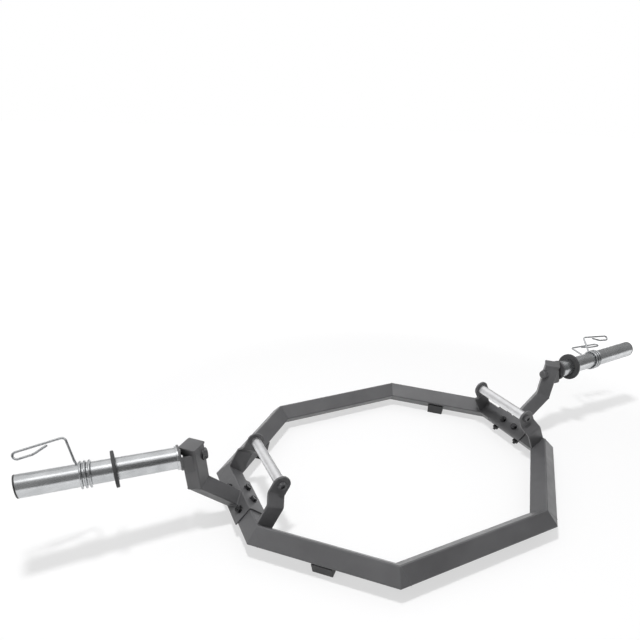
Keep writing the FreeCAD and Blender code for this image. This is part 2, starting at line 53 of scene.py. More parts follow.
# The photograph's view: a wide lens above the front left of the bar, looking down over the left sleeve.
# Place, turn and lens come from a fit to the frame's corners, the sleeves' edges, the caps and the handles.
picture_side = 640
focal_pixels = 463.245
middle_pixel_across, middle_pixel_down = 335.514, 450.318
sensor_width = 36.0
far_clip = 200.0
camera_turn, camera_drop, camera_roll = np.radians([-26.66, 35.417, 1.825])
aim_point = np.array([-0.159915, 0.071832, 0.08106])
aim_distance = 1.360013
camera_data = bpy.data.cameras.new("photo_camera")
camera_data.sensor_fit = "HORIZONTAL"
camera_data.sensor_width = sensor_width
camera_data.lens = focal_pixels / picture_side * sensor_width
camera_data.shift_x = (picture_side / 2 - middle_pixel_across) / picture_side
camera_data.shift_y = (middle_pixel_down - picture_side / 2) / picture_side
camera_data.clip_end = far_clip
camera = bpy.data.objects.new("photo_camera", camera_data)
bpy.context.scene.collection.objects.link(camera)
back_way = np.array([math.sin(camera_turn) * math.cos(camera_drop),
                     -math.cos(camera_turn) * math.cos(camera_drop), math.sin(camera_drop)])
level_right = np.array([math.cos(camera_turn), math.sin(camera_turn), 0.0])
level_up = np.cross(back_way, level_right)
right_way = level_right * math.cos(camera_roll) + level_up * math.sin(camera_roll)
up_way = level_up * math.cos(camera_roll) - level_right * math.sin(camera_roll)
camera_matrix = np.eye(4)
camera_matrix[:3] = np.column_stack([right_way, up_way, back_way, aim_point + back_way * aim_distance])
camera.matrix_world = Matrix(camera_matrix.tolist())
bpy.context.scene.camera = camera


# Frame: eight lengths of 50 mm square steel tube stood on edge and mitred into an octagon.
# The whole bar is powder coated in a satin dark grey, with the slight orange peel of a baked coat.
noise_low, noise_high = 0.3, 0.7


def new_material(name):
    """An empty principled material with its node tree, shader and object coordinates."""
    made = bpy.data.materials.new(name)
    made.use_nodes = True
    tree = made.node_tree
    shader = tree.nodes["Principled BSDF"]
    place = tree.nodes.new("ShaderNodeTexCoord")
    return made, tree, shader, place.outputs["Object"]


def noise(tree, where, scale, detail, rough=0.55, stretch=None):
    """A noise field on the given coordinates, first stretched where asked."""
    if stretch is not None:
        mapping = tree.nodes.new("ShaderNodeMapping")
        mapping.inputs["Scale"].default_value = stretch
        tree.links.new(where, mapping.inputs["Vector"])
        where = mapping.outputs["Vector"]
    field = tree.nodes.new("ShaderNodeTexNoise")
    field.inputs["Scale"].default_value = scale
    field.inputs["Detail"].default_value = detail
    field.inputs["Roughness"].default_value = rough
    tree.links.new(where, field.inputs["Vector"])
    return field.outputs["Fac"]


def ramp(tree, value, stops):
    """A colour ramp over value, from a list of (position, colour)."""
    node = tree.nodes.new("ShaderNodeValToRGB")
    marks = node.color_ramp.elements
    while len(marks) < len(stops):
        marks.new(0.5)
    for mark, (position, colour) in zip(marks, stops):
        mark.position = position
        mark.color = (*colour, 1.0)
    tree.links.new(value, node.inputs["Fac"])
    return node.outputs["Color"]


def spread(tree, value, start, stop, low, high, curve="LINEAR"):
    """Value between start and stop spread to low to high."""
    node = tree.nodes.new("ShaderNodeMapRange")
    node.interpolation_type = curve
    for name, number in (("From Min", start), ("From Max", stop), ("To Min", low), ("To Max", high)):
        node.inputs[name].default_value = number
    tree.links.new(value, node.inputs["Value"])
    return node.outputs["Result"]


def surface_finish(name, dark, light, cloud, roughness, worn=None, bumps=None, depth=0.0, strength=0.0,
                   metallic=0.0, specular=0.5):
    """A finish whose colour drifts from dark to light over the noise field cloud. Its roughness runs between
    two values over the field worn, or else over cloud. A bump of the given depth in metres follows the field
    bumps, or else the roughness. A field is the scale, detail, roughness and stretch that noise takes."""
    made, tree, shader, where = new_material(name)
    tone = noise(tree, where, *cloud)
    tree.links.new(ramp(tree, tone, [(noise_low, dark), (noise_high, light)]), shader.inputs["Base Color"])
    wear = noise(tree, where, *worn) if worn else tone
    tree.links.new(spread(tree, wear, noise_low, noise_high, *roughness), shader.inputs["Roughness"])
    shader.inputs["Metallic"].default_value = metallic
    shader.inputs["Specular IOR Level"].default_value = specular
    if depth:
        relief = tree.nodes.new("ShaderNodeBump")
        relief.inputs["Strength"].default_value = strength
        relief.inputs["Distance"].default_value = depth
        tree.links.new(noise(tree, where, *bumps) if bumps else wear, relief.inputs["Height"])
        tree.links.new(relief.outputs["Normal"], shader.inputs["Normal"])
    return made


def dress(node, material):
    """Give a CAD node one material in place of its own."""
    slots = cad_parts[node].data.materials
    slots.clear()
    slots.append(material)


coat = surface_finish("satin_grey_coat", (0.083, 0.083, 0.086), (0.112, 0.112, 0.116), cloud=(9.0, 3.0),
                      roughness=(0.32, 0.42), worn=(30.0, 2.0), bumps=(900.0, 2.0), depth=0.00012,
                      strength=0.35, specular=0.7)
for name in ("back", "back_right", "right_side", "front_right",
             "front", "front_left", "left_side", "back_left"):
    dress(name + "_tube", coat)


# Mitre welds: one bead round each of the eight corners of the frame, dressed low before coating.
# Each bead is a ring that follows the tube's rounded outline in the mitre plane.
MM = 0.001
tube_side, tube_round = 50.0, 4.0
tube_tip = tube_side / math.sqrt(2)
foot_lift = 12.0
axis_height = foot_lift + tube_tip
half_length, half_depth = 463.0, 377.0
half_side, half_front = 133.0, 219.0
frame_corners = np.array([[half_front, half_depth], [half_length, half_side], [half_length, -half_side],
                          [half_front, -half_depth], [-half_front, -half_depth], [-half_length, -half_side],
                          [-half_length, half_side], [-half_front, half_depth]])
corner_names = ("back_right", "right_back", "right_front", "front_right",
                "front_left", "left_front", "left_back", "back_left")
upright = np.array([0.0, 0.0, 1.0])
mitre_lean = math.tan(math.radians(22.5))
seam_points, seam_radius, seam_proud = 240, 3.0, 0.45


def unit(vectors):
    """The same directions with a length of 1."""
    return vectors / np.linalg.norm(vectors, axis=-1, keepdims=True)


def rounded_diamond(side, radius, steps=6):
    """Outline of a square on edge with round corners: four quarter arcs, each centred inwards from its tip.
    Returns the points (across, up) and the outward directions at them."""
    angles = np.linspace(-np.pi / 4, np.pi / 4, steps)
    turns = np.arange(4)[:, None] * np.pi / 2
    facing = (turns + angles[None, :]).ravel()
    centres = np.repeat(np.arange(4) * np.pi / 2, steps)
    reach = side / math.sqrt(2) - radius * math.sqrt(2)
    outward = np.stack([np.cos(facing), np.sin(facing)], 1)
    points = reach * np.stack([np.cos(centres), np.sin(centres)], 1) + radius * outward
    return points, outward


def even_outline(side, radius, count, arc_steps=12):
    """The rounded diamond at evenly spaced points, with outward directions, for a bead to run along."""
    points, outward = rounded_diamond(side, radius, arc_steps)
    closed = np.concatenate([points, points[:1]])
    ways = np.concatenate([outward, outward[:1]])
    length = np.concatenate([[0], np.cumsum(np.linalg.norm(np.diff(closed, axis=0), axis=1))])
    at = np.linspace(0, length[-1], count, endpoint=False)
    even = np.stack([np.interp(at, length, closed[:, k]) for k in (0, 1)], 1)
    facing = np.stack([np.interp(at, length, ways[:, k]) for k in (0, 1)], 1)
    return even, unit(facing)


def skin(points, ring=True, ends=True):
    """Vertices and faces over a grid of points: each row joined to the next, and closed round where it is a
    ring. The first and last rings are closed by a flat face where ends is set."""
    rows, cols = points.shape[:2]
    index = np.arange(rows * cols).reshape(rows, cols)
    here = index if ring else index[:, :-1]
    beside = np.roll(index, -1, axis=1) if ring else index[:, 1:]
    quads = np.stack([here[:-1], beside[:-1], beside[1:], here[1:]], axis=-1).reshape(-1, 4)
    faces = quads.tolist()
    if ends:
        faces += [index[0, ::-1].tolist(), index[-1].tolist()]
    return points.reshape(-1, 3), faces


def closed_skin(points):
    """Vertices and faces over a grid that closes both ways, as on a ring."""
    rows, cols = points.shape[:2]
    index = np.arange(rows * cols).reshape(rows, cols)
    beside = np.roll(index, -1, axis=1)
    below = np.roll(index, -1, axis=0)
    across = np.roll(below, -1, axis=1)
    quads = np.stack([index, beside, across, below], axis=-1).reshape(-1, 4)
    return points.reshape(-1, 3), quads.tolist()


def make_piece(name, shells, material, body, stands_for=(), sharp=35.0, bevel=0.0):
    """One object from closed shells in millimetres, set in metres, its normals outward. Edges that turn by
    more than sharp degrees stay sharp, and a bevel is the width of the broken edges."""
    merge_distance, bevel_steps, bevel_angle = 1e-7, 2, 40.0
    starts = np.cumsum([0] + [len(points) for points, faces in shells])
    vertices = np.concatenate([points for points, faces in shells]) * MM
    faces = [[corner + start for corner in face]
             for (points, made), start in zip(shells, starts) for face in made]
    mesh = bpy.data.meshes.new(name)
    mesh.from_pydata(vertices.tolist(), [], faces)
    work = bmesh.new()
    work.from_mesh(mesh)
    bmesh.ops.remove_doubles(work, verts=work.verts, dist=merge_distance)
    bmesh.ops.recalc_face_normals(work, faces=work.faces)
    work.to_mesh(mesh)
    work.free()
    mesh.polygons.foreach_set("use_smooth", np.ones(len(mesh.polygons), dtype=bool))
    mesh.set_sharp_from_angle(angle=math.radians(sharp))
    mesh.materials.append(material)
    made = bpy.data.objects.new(name, mesh)
    bpy.context.scene.collection.objects.link(made)
    if bevel:
        rounding = made.modifiers.new("edge_rounding", "BEVEL")
        rounding.width = bevel * MM
        rounding.segments = bevel_steps
        rounding.limit_method = "ANGLE"
        rounding.angle_limit = math.radians(bevel_angle)
    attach(made, body)
    if stands_for:
        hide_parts(*stands_for)


def bead_ring(centre, wide, high, outline, outward, radius, proud):
    """A weld bead round a seam: the tube's outline is laid along the seam's wide and high directions, and a
    small circle is carried round it, sunk so that only its crown stands proud, with a ripple along its
    length."""
    ripple_share, ripple_count, bead_sides = 0.04, 40, 12
    path = centre + outline[:, :1] * wide + outline[:, 1:] * high
    lift = unit(outward[:, :1] * wide + outward[:, 1:] * high)
    normal = unit(np.cross(wide, high))
    travelled = np.arange(len(path)) / len(path)
    ripple = radius * (1.0 + ripple_share * np.sin(travelled * 2 * np.pi * ripple_count))
    turn = np.linspace(0, 2 * np.pi, bead_sides, endpoint=False)
    circle = np.cos(turn)[None, :, None] * lift[:, None, :] + np.sin(turn)[None, :, None] * normal
    return (path - lift * (radius - proud))[:, None, :] + ripple[:, None, None] * circle


def tube_run(index):
    """The direction of the tube that ends at a corner of the frame, and its middle on the floor."""
    start, end = frame_corners[index - 1], frame_corners[index]
    return unit(np.array([*(end - start), 0.0])), np.array([*(start + end) / 2, 0.0])


seam_outline, seam_outward = even_outline(tube_side, tube_round, seam_points)
for index, name in enumerate(corner_names):
    along = tube_run(index)[0]
    wide = np.cross(along, upright) + along * mitre_lean
    corner = np.array([*frame_corners[index], axis_height])
    bead = bead_ring(corner, wide, upright, seam_outline, seam_outward, seam_radius, seam_proud)
    bead[..., 1] = np.clip(bead[..., 1], cad_low[1] / MM, cad_high[1] / MM)
    make_piece(name + "_weld", [closed_skin(bead)], coat, "frame")


# Feet: a moulded rubber block under the middle of each diagonal, with a V seat for the tube's lower edge.
# They are pressed on and keep the coated tubes off the floor.
foot_base_half, foot_top_half, foot_seat_half = 19.0, 29.0, 24.0
foot_height, foot_length, foot_bevel = 36.0, 52.0, 1.2
foot_outline = np.array([[-foot_base_half, 0.0], [foot_base_half, 0.0], [foot_top_half, foot_height],
                         [foot_seat_half, foot_height], [0.0, foot_lift], [-foot_seat_half, foot_height],
                         [-foot_top_half, foot_height]])
rubber = surface_finish("foot_rubber_black", (0.044, 0.044, 0.045), (0.062, 0.062, 0.064), cloud=(60.0, 4.0),
                        roughness=(0.55, 0.72), bumps=(1400.0, 2.0), depth=0.0001, strength=0.4)


def prism(outline, origin, across, up, along, length):
    """A flat outline (across, up) carried straight along for a length."""
    section = origin + outline[:, :1] * across + outline[:, 1:] * up
    return skin(np.stack([section, section + along * length]))


for index, name in ((1, "back_right"), (3, "front_right"), (5, "front_left"), (7, "back_left")):
    along, middle = tube_run(index)
    start = middle - along * foot_length / 2
    block = prism(foot_outline, start, np.cross(along, upright), upright, along, foot_length)
    make_piece(name + "_foot_block", [block], rubber, "frame", (name + "_foot",),
               bevel=foot_bevel)


# Saddles: 4 mm steel plate folded over the ridge of each short side and bolted through the tube.
# The fold keeps its press radius, and the cut edges are broken before coating.
plate_thick, saddle_leg, saddle_width, saddle_bevel = 4.0, 54.0, 146.0, 0.7
leg_tip = saddle_leg / math.sqrt(2)
plate_step = plate_thick / math.sqrt(2)
rightward = np.array([1.0, 0.0, 0.0])
backward = np.array([0.0, 1.0, 0.0])
side_axis = np.array([half_length, 0.0, axis_height])
crown_steps = 9
crown_turn = np.radians(np.linspace(135, 45, crown_steps))
crown = plate_thick * np.stack([np.cos(crown_turn), np.sin(crown_turn)], 1)
saddle_outline = np.concatenate([
    [[0.0, 0.0], [-leg_tip, -leg_tip], [-leg_tip - plate_step, -leg_tip + plate_step]], crown,
    [[leg_tip + plate_step, -leg_tip + plate_step], [leg_tip, -leg_tip]]])


def on_side(side, shells):
    """Shells of the right end as they are, or for the left end turned half round the upright axis."""
    half_turn = np.array([-1.0, -1.0, 1.0])
    return [(points * half_turn if side == "left" else points, faces) for points, faces in shells]


saddle_start = side_axis + upright * tube_tip - backward * saddle_width / 2
saddle = prism(saddle_outline, saddle_start, rightward, upright, backward, saddle_width)
for side in ("right", "left"):
    make_piece(side + "_saddle_plate", on_side(side, [saddle]), coat, "frame",
               (side + "_saddle",), sharp=50.0, bevel=saddle_bevel)


# Saddle bolts: black M10 hexagon bolts through plate and tube, two down each leg of the saddle.
# Each has a washer under its head, and a washer and a nut under the tube.
inner_spacing, outer_spacing = 25.0, 47.0
hexagon_width, head_height, nut_height = 17.0, 7.0, 9.0
washer_outer, washer_inner, washer_thick = 10.5, 5.25, 2.0
thread_radius, thread_start, thread_length, thread_pitch = 5.0, 26.0, 15.0, 1.5
half_tube = tube_side / 2
inward_up = np.array([-1.0, 0.0, 1.0]) / math.sqrt(2)
outward_up = np.array([1.0, 0.0, 1.0]) / math.sqrt(2)
hexagon_corner_share = 1 / math.sqrt(3)
black_steel = surface_finish("black_oxide_steel", (0.050, 0.050, 0.052), (0.095, 0.095, 0.098),
                             cloud=(220.0, 3.0), roughness=(0.22, 0.34), depth=0.0001, strength=0.3,
                             metallic=1.0)


def turned_grid(levels, radii, origin, axis, toward, count=48, across=None):
    """Rings about an axis: one radius per level, held within a hexagon of the given width where across is
    set. The hexagon's reach at an angle is half its width over the cosine of the angle from the nearest
    flat."""
    first = unit(toward - axis * np.dot(toward, axis))
    second = np.cross(axis, first)
    turn = np.arange(count) * 2 * np.pi / count
    reach = np.repeat(np.asarray(radii, float)[:, None], count, axis=1)
    if across is not None:
        from_flat = np.mod(turn + np.pi / 6, np.pi / 3) - np.pi / 6
        reach = np.minimum(reach, across / 2 / np.cos(from_flat)[None, :])
    circle = np.cos(turn)[:, None] * first + np.sin(turn)[:, None] * second
    return origin + np.asarray(levels, float)[:, None, None] * axis + reach[:, :, None] * circle[None, :, :]


def hex_head(origin, axis, toward, across, height):
    """A hexagon head: full width to its shoulder, then the turned chamfer that rounds its corners off."""
    level_shares = np.array([0.0, 0.0, 0.72, 0.86, 0.95, 1.0, 0.97])
    radius_shares = np.array([0.46, hexagon_corner_share, hexagon_corner_share, 0.54, 0.50, 0.455, 0.40])
    levels, radii = height * level_shares, across * radius_shares
    return skin(turned_grid(levels, radii, origin, axis, toward, across=across))


def hex_nut(origin, axis, toward, across, height):
    """A nut: chamfered at both faces."""
    level_shares = np.array([0.0, 0.12, 0.22, 0.78, 0.88, 1.0])
    radius_shares = np.array([0.46, 0.53, hexagon_corner_share, hexagon_corner_share, 0.53, 0.46])
    levels, radii = height * level_shares, across * radius_shares
    return skin(turned_grid(levels, radii, origin, axis, toward, across=across))


def turned_ring(profile, origin, axis, toward, count):
    """A closed outline of (level, radius) points turned about an axis."""
    levels, radii = np.asarray(profile, float).T
    return closed_skin(turned_grid(levels, radii, origin, axis, toward, count))


def washer_ring(origin, axis, toward, outer, inner, thickness):
    """A washer: a rectangle with broken edges turned about the axis."""
    edge_share, count = 0.2, 48
    edge = thickness * edge_share
    profile = [(0.0, inner), (0.0, outer - edge), (edge, outer), (thickness - edge, outer),
               (thickness, outer - edge), (thickness, inner)]
    return turned_ring(profile, origin, axis, toward, count)


def thread_end(origin, axis, toward, radius, length, pitch):
    """A bolt's threaded end: a radius that rises and falls once each pitch, with a chamfered tip."""
    depth_share, tip_shares, steps, count = 0.12, np.array([0.86, 0.80]), 4, 32
    levels = np.arange(0, length + pitch / steps / 2, pitch / steps)
    wave = np.abs(np.mod(levels / pitch, 1.0) - 0.5) * 2
    radii = radius - depth_share * radius * wave
    radii[-2:] = radius * tip_shares
    return skin(turned_grid(levels, radii, origin, axis, toward, count))


bolts, nuts, washers = [], [], []
for spacing, leg_up in ((-inner_spacing, inward_up), (inner_spacing, inward_up),
                        (-outer_spacing, outward_up), (outer_spacing, outward_up)):
    middle = side_axis + backward * spacing
    upper_face = middle + leg_up * (half_tube + plate_thick)
    lower_washer = middle - leg_up * (half_tube + washer_thick)
    bolts.append(hex_head(upper_face + leg_up * washer_thick, leg_up, backward, hexagon_width, head_height))
    bolts.append(thread_end(middle - leg_up * thread_start, -leg_up, backward, thread_radius, thread_length,
                            thread_pitch))
    nuts.append(hex_nut(lower_washer - leg_up * nut_height, leg_up, backward, hexagon_width, nut_height))
    for place in (upper_face, lower_washer):
        washers.append(washer_ring(place, leg_up, backward, washer_outer, washer_inner, washer_thick))
for side in ("right", "left"):
    for kind, shells in (("bolts", bolts), ("nuts", nuts), ("washers", washers)):
        make_piece(side + "_saddle_" + kind + "_black", on_side(side, shells), black_steel, "frame",
                   (side + "_saddle_" + kind,), sharp=30.0)


# Arms: 40 mm square tube on edge, square to the saddle's outer leg, mitred at the elbow and then upright.
# They are welded to the saddle and closed by a thin cap plate.
arm_side, arm_round, arm_reach = 40.0, 3.0, 101.0
arm_tip = arm_side / math.sqrt(2)
arm_place = half_length + arm_reach
arm_seam_points, arm_seam_radius, elbow_proud, root_proud, root_gap = 200, 2.6, 0.9, 1.6, 0.6
cap_overhang, cap_low, cap_thick, cap_edge, cap_trim = 1.6, 256.0, 4.0, 0.8, 28.2
for side in ("right", "left"):
    for part in ("lower_arm", "upper_arm", "head_cheeks"):
        dress(side + "_" + part, coat)
elbow = np.array([arm_place, 0.0, axis_height + arm_reach])
elbow_normal = outward_up + upright
elbow_lean = -np.dot(inward_up, elbow_normal) / np.dot(outward_up, elbow_normal)
arm_outline, arm_outward = even_outline(arm_side, arm_round, arm_seam_points)
elbow_bead = bead_ring(elbow, backward, inward_up + outward_up * elbow_lean, arm_outline, arm_outward,
                       arm_seam_radius, elbow_proud)
arm_root = side_axis + outward_up * (half_tube + plate_thick + root_gap)
root_bead = bead_ring(arm_root, backward, inward_up, arm_outline, arm_outward, arm_seam_radius, root_proud)


def cap_plate(side, radius):
    """A plate with the tube's rounded outline, trimmed at the flange, its upper edge broken by drawing the
    outline in."""
    rise_share = 0.3
    cap_top = cap_low + cap_thick
    rows = []
    for height, inset in ((cap_low, 0.0), (cap_top - cap_edge, 0.0),
                          (cap_top - cap_edge * rise_share, cap_edge * rise_share), (cap_top, cap_edge)):
        outline = rounded_diamond(side - 2 * inset, radius)[0]
        trimmed = np.minimum(outline[:, 0], cap_trim)
        rows.append(np.column_stack([trimmed + arm_place, outline[:, 1], np.full(len(outline), height)]))
    return skin(np.stack(rows))


cap = cap_plate(arm_side + 2 * cap_overhang, arm_round)
for side in ("right", "left"):
    for kind, grid in (("elbow_weld", elbow_bead), ("arm_root_weld", root_bead)):
        make_piece(side + "_" + kind, on_side(side, [closed_skin(grid)]), coat, "frame")
    make_piece(side + "_arm_cap_plate", on_side(side, [cap]), coat, "frame",
               (side + "_arm_cap",), sharp=25.0)


# Sleeves: plated steel tube, 50 mm for plates with that hole, seated on a round coated flange at the arm's
# head. A long bolt through the arm pulls each one up, and a plastic plug closes the outer end.
sleeve_rise, sleeve_height = math.radians(3.8), 229.0
sleeve_start, sleeve_length, sleeve_radius, sleeve_bore = 31.0, 315.0, 25.0, 20.0
mouth_depth, mouth_flare = 14.0, 0.2
plug_stem, plug_radius, plug_depth, plug_lip, plug_hole, plug_gap = 19.9, 24.9, 13.0, 3.0, 3.0, 0.05
shoulder_radius, shoulder_length = 27.9, 6.0
flange_thick, flange_radius, flange_edge = 5.0, 30.5, 0.8
bolt_flat_depth, bolt_width, bolt_height = 9.5, 24.0, 10.0
bolt_washer_outer, bolt_washer_inner, bolt_washer_thick = 15.0, 8.25, 3.0
sleeve_sides, ring_sides = 128, 96
zinc = surface_finish("bright_zinc", (0.48, 0.49, 0.50), (0.62, 0.63, 0.64), cloud=(26.0, 4.0, 0.6),
                      roughness=(0.20, 0.34), worn=(40.0, 3.0, 0.6, (0.25, 30.0, 30.0)), depth=0.00006,
                      strength=0.25, metallic=1.0)
plastic = surface_finish("plug_plastic_black", (0.026, 0.026, 0.027), (0.039, 0.039, 0.040),
                         cloud=(300.0, 2.0), roughness=(0.34, 0.46))
sleeve_way = np.array([math.cos(sleeve_rise), 0.0, math.sin(sleeve_rise)])
sleeve_foot = np.array([arm_place, 0.0, sleeve_height])
flange_face = arm_tip + flange_thick
sleeve_tip = flange_face + sleeve_length
# Broken edges, as (level, radius) steps from the end or the face that carries them.
sleeve_edge = np.array([[-1.2, 0.0], [-0.4, -0.3], [0.0, -1.0]])
plug_edge = np.array([[0.0, 0.0], [2.2, 0.0], [2.8, -0.4], [plug_lip, -1.3]])
shoulder_edge = np.array([[5.2, 0.0], [5.8, -0.3], [shoulder_length, -0.9]])
sleeve_profile = [(sleeve_start, sleeve_radius), *(sleeve_edge + [sleeve_tip, sleeve_radius]),
                  (sleeve_tip, sleeve_bore + mouth_flare), (sleeve_tip - mouth_depth, sleeve_bore),
                  (sleeve_start, sleeve_bore)]
plug_profile = [(sleeve_tip - plug_depth, plug_stem), (sleeve_tip - plug_gap, plug_stem),
                *(plug_edge + [sleeve_tip, plug_radius]), (sleeve_tip + plug_lip, plug_hole),
                (sleeve_tip - plug_depth, plug_hole)]
shoulder_profile = [(flange_face, shoulder_radius), *(shoulder_edge + [flange_face, shoulder_radius]),
                    (flange_face + shoulder_length, sleeve_radius), (flange_face, sleeve_radius)]
sleeve_shell = turned_ring(sleeve_profile, sleeve_foot, sleeve_way, upright, sleeve_sides)
plug_shell = turned_ring(plug_profile, sleeve_foot, sleeve_way, upright, ring_sides)
shoulder_shell = turned_ring(shoulder_profile, sleeve_foot, sleeve_way, upright, ring_sides)
flange_seat = np.array([arm_place + arm_tip, 0.0, sleeve_height + arm_tip * math.tan(sleeve_rise)])
flange_shell = skin(turned_grid([0.0, flange_edge, flange_thick - flange_edge, flange_thick],
                                [flange_radius - flange_edge, flange_radius, flange_radius,
                                 flange_radius - flange_edge], flange_seat, rightward, upright, ring_sides))
bolt_seat = sleeve_foot - sleeve_way * (arm_tip - bolt_flat_depth + bolt_washer_thick)
bolt_head = hex_head(bolt_seat, -sleeve_way, upright, bolt_width, bolt_height)
bolt_washer = washer_ring(bolt_seat, sleeve_way, upright, bolt_washer_outer, bolt_washer_inner,
                          bolt_washer_thick)
for side in ("right", "left"):
    for kind, shell, finish, slot, gone in (
            ("sleeve_plated", sleeve_shell, zinc, "sleeve_plating", ("sleeve_tube", "sleeve_core")),
            ("sleeve_plug", plug_shell, plastic, "plug_plastic", ("sleeve_end_plug",)),
            ("sleeve_shoulder_ring", shoulder_shell, zinc, "sleeve_plating", ("sleeve_shoulder",)),
            ("flange_plate", flange_shell, coat, "grey_powder_coat", ("sleeve_flange",)),
            ("sleeve_bolt_head", bolt_head, coat, "grey_powder_coat", ("sleeve_bolt",)),
            ("sleeve_bolt_washer", bolt_washer, coat, "grey_powder_coat", ("sleeve_washer",))):
        make_piece(side + "_" + kind, on_side(side, [shell]), finish, "frame",
                   tuple(side + "_" + node for node in gone), sharp=30.0)


# Stop discs: loose moulded rubber rings that sit between the plates and the collar.
# Their rims are rounded by the mould, and they turn and slide freely on the sleeve.
disc_radius, disc_bore, disc_thick, disc_edge, disc_lead, rim_steps = 41.0, 25.3, 7.0, 1.6, 0.5, 6


def disc_shell(place):
    """A flat ring turned about the sleeve: a rectangle whose outer corners are quarter rounds."""
    turn = np.linspace(0, np.pi / 2, rim_steps)
    low, high = place - disc_thick / 2, place + disc_thick / 2
    rim = disc_radius - disc_edge
    rising = np.column_stack([low + disc_edge - disc_edge * np.cos(turn), rim + disc_edge * np.sin(turn)])
    falling = np.column_stack([high - disc_edge + disc_edge * np.sin(turn), rim + disc_edge * np.cos(turn)])
    profile = np.concatenate([[[low + disc_lead, disc_bore], [low, disc_bore + disc_lead]], rising, falling,
                              [[high, disc_bore + disc_lead], [high - disc_lead, disc_bore]]])
    return turned_ring(profile, sleeve_foot, sleeve_way, upright, ring_sides)


for side, place in (("right", 82.0), ("left", 167.0)):
    make_piece(side + "_rubber_disc", on_side(side, [disc_shell(place)]), rubber, side + "_disc",
               (side + "_stop_disc",))


# Spring collars: one length of 5 mm plated spring wire, three turns round the sleeve and a finger loop at
# each end. Squeezing the loops together opens the coil; let go, it grips the sleeve.
wire_radius, wire_gap, coil_turns, coil_pitch = 2.5, 0.4, 3, 8.6
coil_radius = sleeve_radius + wire_gap + wire_radius
root_bend, corner_bend, return_bend, tail_bend = 7.0, 8.0, 7.5, 20.0
leg_reach, loop_run, return_straight, tail_length = 85.0, 99.0, 24.0, 28.0
leg_lean, tail_lean = 10.0, 18.0
coil_points, leg_points, run_points, return_points, lift_points, tail_points = 330, 16, 14, 8, 5, 28
wire_metal = surface_finish("plated_spring_wire", (0.40, 0.41, 0.42), (0.54, 0.55, 0.56), cloud=(160.0, 3.0),
                            roughness=(0.18, 0.30), metallic=1.0)
wire_along = np.array([1.0, 0.0, 0.0])


def out_at(degrees):
    """The direction out from the sleeve's axis at an angle from its upper side."""
    turn = np.radians(np.asarray(degrees, float))
    return np.stack([np.zeros_like(turn), np.sin(turn), np.cos(turn)], -1)


def bend(start, way, new_way, radius, degrees=90.0, steps=10):
    """An arc that turns from one way to another: start + way r sin t + new way r (1 - cos t)."""
    turn = np.radians(np.linspace(0, degrees, steps))[:, None]
    return start + way * radius * np.sin(turn) + new_way * radius * (1 - np.cos(turn))


def straight(start, way, length, steps):
    """Even points along a straight run."""
    return start + way * np.linspace(0, length, steps)[:, None]


def finger_loop(start, way, out):
    """The wire from one end of the coil: a bend from the coil's tangent to a leg that leans outwards, a corner
    to a run along the sleeve, a turn back on itself and a tail that leans out. Returns the points and a side
    direction at each, which turns a quarter round along the leg."""
    lean, tilt = math.radians(leg_lean), math.radians(tail_lean)
    leg_way = out * math.cos(lean) + wire_along * math.sin(lean)
    run_way = wire_along * math.cos(lean) - out * math.sin(lean)
    root = bend(start, way, leg_way, root_bend)
    leg = straight(root[-1], leg_way, leg_reach - coil_radius - root_bend - corner_bend, leg_points)
    corner = bend(leg[-1], leg_way, run_way, corner_bend)
    reach = straight(corner[-1], run_way, loop_run - corner_bend - return_bend, run_points)
    over = bend(reach[-1], run_way, -leg_way, return_bend)
    under = bend(over[-1], -leg_way, -run_way, return_bend)
    back = straight(under[-1], -run_way, return_straight, return_points)
    lift = bend(back[-1], -run_way, leg_way, tail_bend, tail_lean, lift_points)
    tail = straight(lift[-1], leg_way * math.sin(tilt) - run_way * math.cos(tilt), tail_length, tail_points)
    pieces = [root, leg, corner, reach, over, under, back, lift, tail]
    flat = np.cross(leg_way, run_way)
    turn = np.linspace(0, np.pi / 2, len(leg))[:, None]
    sides = [np.repeat(wire_along[None], len(root), axis=0), wire_along * np.cos(turn) + flat * np.sin(turn)]
    sides += [np.repeat(flat[None], len(piece), axis=0) for piece in pieces[2:]]
    return np.concatenate([piece[1:] for piece in pieces]), np.concatenate([facing[1:] for facing in sides])


def collar_path(place, angle, opening):
    """The wire's centre line in the sleeve's own frame (along, across, up), and a side direction at each
    point. The coil is a circle of the coil's radius that climbs one pitch each turn, over its turns and the
    opening between its two legs."""
    sweep = coil_turns * 360.0 + opening
    share = np.linspace(0, 1, coil_points)
    length = coil_pitch * sweep / 360.0
    coil = np.outer(place + length * share, wire_along) + coil_radius * out_at(angle + sweep * share)
    climb = coil_radius * math.radians(sweep)
    first_way = unit(out_at(angle + 90.0) * climb + wire_along * length)
    last_way = unit(out_at(angle + sweep + 90.0) * climb + wire_along * length)
    first_points, first_side = finger_loop(coil[0], -first_way, out_at(angle))
    last_points, last_side = finger_loop(coil[-1], last_way, out_at(angle + sweep))
    coil_side = np.repeat(wire_along[None], len(share), axis=0)
    path = np.concatenate([first_points[::-1], coil, last_points])
    return path, np.concatenate([first_side[::-1], coil_side, last_side])


def wire_shell(path, side, radius):
    """A round wire along a path: rings square to the path, drawn in to a dome over the last radius at each
    end."""
    wire_sides, tip_share = 20, 0.02
    way = unit(np.gradient(path, axis=0))
    first = unit(side - way * np.sum(side * way, axis=1, keepdims=True))
    second = np.cross(way, first)
    travelled = np.concatenate([[0], np.cumsum(np.linalg.norm(np.diff(path, axis=0), axis=1))])
    from_end = np.minimum(travelled, travelled[-1] - travelled)
    inside = np.clip(from_end / radius, tip_share, 1.0)
    swell = radius * np.sqrt(1 - (1 - inside) ** 2)
    turn = np.linspace(0, 2 * np.pi, wire_sides, endpoint=False)
    circle = (np.cos(turn)[None, :, None] * first[:, None, :]
              + np.sin(turn)[None, :, None] * second[:, None, :])
    return path[:, None, :] + swell[:, None, None] * circle


